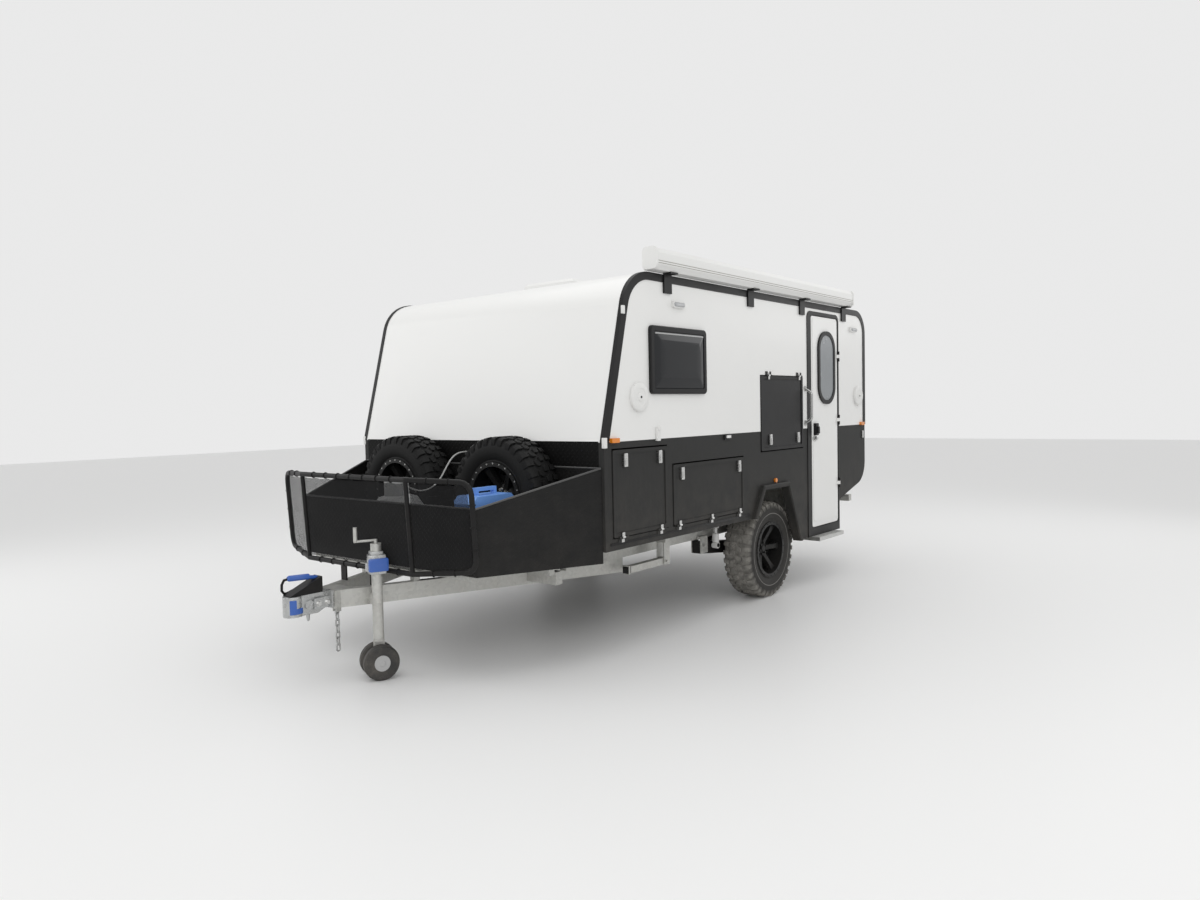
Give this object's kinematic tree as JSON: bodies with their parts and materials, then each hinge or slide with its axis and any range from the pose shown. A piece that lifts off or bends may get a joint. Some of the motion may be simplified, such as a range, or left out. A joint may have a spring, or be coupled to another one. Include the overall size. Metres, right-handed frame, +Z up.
{
  "type": "off-road camper trailer",
  "caption": "Single-axle off-road camper trailer with white upper body, dark lower lockers, side awning, front plate crate with spare wheels, stone guard and A-frame drawbar on its jack.",
  "frame": {"origin": "on the ground under the middle of the overall box", "axes": "+X forward to the coupling, +Y to the door and awning side, +Z up"},
  "size_m": [5.29, 2.424, 2.485],
  "materials": {
    "white_panel": "gloss white composite skin",
    "charcoal_panel": "dark textured composite",
    "black_trim": "satin black",
    "galvanised": "hot dip galvanised",
    "black_steel": "black powder coat",
    "blue_steel": "blue paint",
    "dark_pane": "tinted acrylic",
    "white_plastic": "moulded white",
    "amber_lens": "amber lens",
    "red_lens": "red lens",
    "tyre_rubber": "dusty tread",
    "black_rim": "satin black",
    "stainless": "polished",
    "can_plastic": "blue moulded",
    "bottle_steel": "grey galvanised",
    "guard_net": "coated mesh",
    "hose_rubber": "grey hose",
    "step_alloy": "tread alloy",
    "jack_plastic": "black wheels",
    "awning_shell": "white coated alloy"
  },
  "bodies": {
    "trailer": {"arch_flares": "charcoal_panel", "arch_liners": "galvanised", "awning_brackets": "black_trim", "awning_cassette": "awning_shell", "chassis_rails": "galvanised", "coupling": "galvanised", "coupling_guard": "black_steel", "coupling_lever": "blue_steel", "crate": "black_steel", "door_frame": "black_trim", "drawbar": "galvanised", "edge_trim": "black_trim", "floor_panel": "charcoal_panel", "front_panel": "charcoal_panel", "gas_bottle": "bottle_steel", "gas_hose": "hose_rubber", "gas_inlet": "stainless", "grab_handle": "stainless", "guard_frame": "black_steel", "guard_mesh": "guard_net", "hatch_hinges": "stainless", "marker_lamps": "amber_lens", "rear_panel_lower": "charcoal_panel", "rear_panel_upper": "white_panel", "roof_sheet": "white_panel", "safety_chain": "galvanised", "spare_rims": "black_rim", "spare_tyres": "tyre_rubber", "springs_and_shocks": "stainless", "step_runners": "galvanised", "tail_lamps": "red_lens", "trailing_arms": "black_steel", "vent_frame": "white_plastic", "wall_fittings": "white_plastic", "wall_left_lower": "charcoal_panel", "wall_left_upper": "white_panel", "wall_right_lower": "charcoal_panel", "wall_right_upper": "white_panel", "water_can": "can_plastic", "window_frames": "black_trim", "window_panes": "dark_pane"},
    "wheel_left": {"tyre_left": "tyre_rubber", "rim_left": "black_rim"},
    "wheel_right": {"tyre_right": "tyre_rubber", "rim_right": "black_rim"},
    "jack_leg": {"jack_leg": "galvanised"},
    "jack_yoke": {"jack_yoke": "galvanised"},
    "jack_wheels": {"jack_wheels": "jack_plastic"},
    "drop_leg_left": {"drop_leg_left": "galvanised"},
    "drop_leg_right": {"drop_leg_right": "galvanised"},
    "entry_door": {"door_leaf": "white_panel", "door_window_frame": "black_trim", "door_pane": "dark_pane"},
    "front_locker_left": {"hatch_front_left": "charcoal_panel"},
    "front_locker_right": {"hatch_front_right": "charcoal_panel"},
    "middle_locker": {"hatch_middle_left": "charcoal_panel"},
    "rear_locker": {"hatch_rear_left": "black_trim"},
    "roof_vent": {"vent_lid": "white_plastic"},
    "entry_step": {"entry_step": "step_alloy"}
  },
  "joints": [
    {"name": "wheel_left_spin", "type": "hinge", "parent": "trailer", "child": "wheel_left", "pos_m": [-0.864, 0.985, 0.3725], "axis": [0, 1, 0], "continuous": true},
    {"name": "wheel_right_spin", "type": "hinge", "parent": "trailer", "child": "wheel_right", "pos_m": [-0.864, -0.985, 0.3725], "axis": [0, 1, 0], "continuous": true},
    {"name": "jack_swing", "type": "hinge", "parent": "trailer", "child": "jack_leg", "pos_m": [2.21734, 0.25266, 0.44], "axis": [0.3848, 0.923, 0], "range_deg": [0, 90]},
    {"name": "jack_swivel", "type": "hinge", "parent": "jack_leg", "child": "jack_yoke", "pos_m": [2.21734, 0.25266, 0.23], "axis": [0, 0, 1], "continuous": true},
    {"name": "jack_wheels_spin", "type": "hinge", "parent": "jack_yoke", "child": "jack_wheels", "pos_m": [2.21734, 0.25266, 0.1], "axis": [0.3848, 0.923, 0], "continuous": true},
    {"name": "drop_leg_left_swing", "type": "hinge", "parent": "trailer", "child": "drop_leg_left", "pos_m": [0.34, 0.9, 0.448], "axis": [0, 1, 0], "range_deg": [0, 90]},
    {"name": "drop_leg_right_swing", "type": "hinge", "parent": "trailer", "child": "drop_leg_right", "pos_m": [0.34, -0.9, 0.448], "axis": [0, 1, 0], "range_deg": [0, 90]},
    {"name": "entry_door_hinge", "type": "hinge", "parent": "trailer", "child": "entry_door", "pos_m": [-1.998, 1.165, 1.358], "axis": [0, 0, 1], "range_deg": [0, 110]},
    {"name": "front_locker_left_hinge", "type": "hinge", "parent": "trailer", "child": "front_locker_left", "pos_m": [0.909, 1.159, 0.729], "axis": [-1, 0, 0], "range_deg": [0, 90]},
    {"name": "front_locker_right_hinge", "type": "hinge", "parent": "trailer", "child": "front_locker_right", "pos_m": [0.909, -1.159, 0.729], "axis": [1, 0, 0], "range_deg": [0, 90]},
    {"name": "middle_locker_hinge", "type": "hinge", "parent": "trailer", "child": "middle_locker", "pos_m": [0.108, 1.159, 0.729], "axis": [-1, 0, 0], "range_deg": [0, 90]},
    {"name": "rear_locker_hinge", "type": "hinge", "parent": "trailer", "child": "rear_locker", "pos_m": [-0.967, 1.159, 1.72398], "axis": [1, 0, 0], "range_deg": [0, 95]},
    {"name": "roof_vent_hinge", "type": "hinge", "parent": "trailer", "child": "roof_vent", "pos_m": [-0.014, 0, 2.403], "axis": [0, -1, 0], "range_deg": [0, 65]},
    {"name": "entry_step_slide", "type": "slide", "parent": "trailer", "child": "entry_step", "axis": [0, 1, 0], "range_m": [0, 0.18]}
  ]
}
